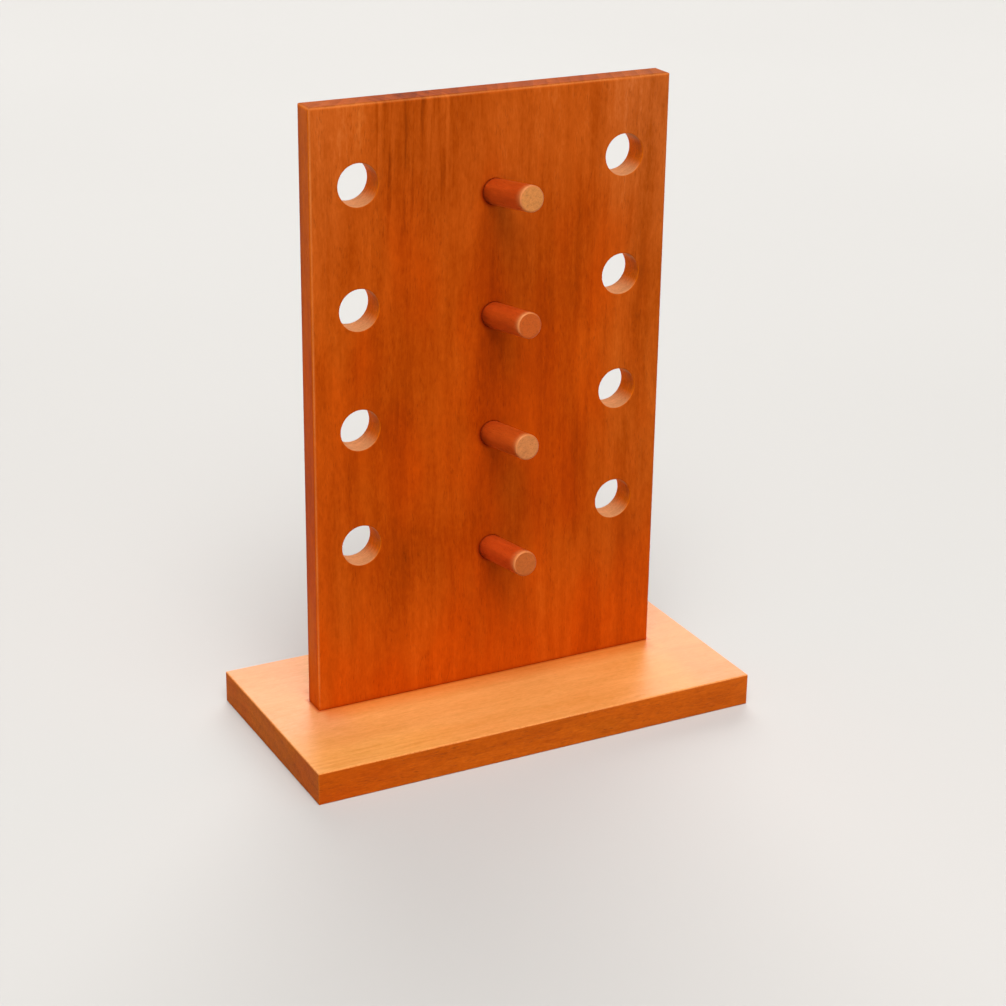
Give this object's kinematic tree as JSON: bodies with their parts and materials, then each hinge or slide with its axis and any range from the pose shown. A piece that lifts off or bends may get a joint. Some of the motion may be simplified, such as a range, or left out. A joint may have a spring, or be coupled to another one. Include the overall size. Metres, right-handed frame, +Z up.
{
  "type": "eyeglass display rack",
  "caption": "Small wooden desk rack: an upright panel on a base board, with a column of tilted pegs for the bridges and a column of through holes on each side for the temples of eyeglasses.",
  "frame": {"origin": "centre of the base board's footprint, on the surface it stands on", "axes": "+Z up, +X to the right as seen by someone who faces the pegs, -Y the way the pegs point, +Y to the back"},
  "size_m": [0.2286, 0.1148, 0.304],
  "materials": {
    "panel_wood": "satin",
    "base_wood": "satin",
    "peg_wood": "satin",
    "dowel_wood": "matte",
    "screw_zinc": "satin"
  },
  "bodies": {
    "root": {"base_board": "base_wood", "back_panel": "panel_wood", "peg_top": "peg_wood", "peg_upper_middle": "peg_wood", "peg_lower_middle": "peg_wood", "peg_bottom": "peg_wood", "dowel_left": "dowel_wood", "dowel_right": "dowel_wood", "screw_left": "screw_zinc", "screw_centre": "screw_zinc", "screw_right": "screw_zinc"}
  },
  "joints": []
}
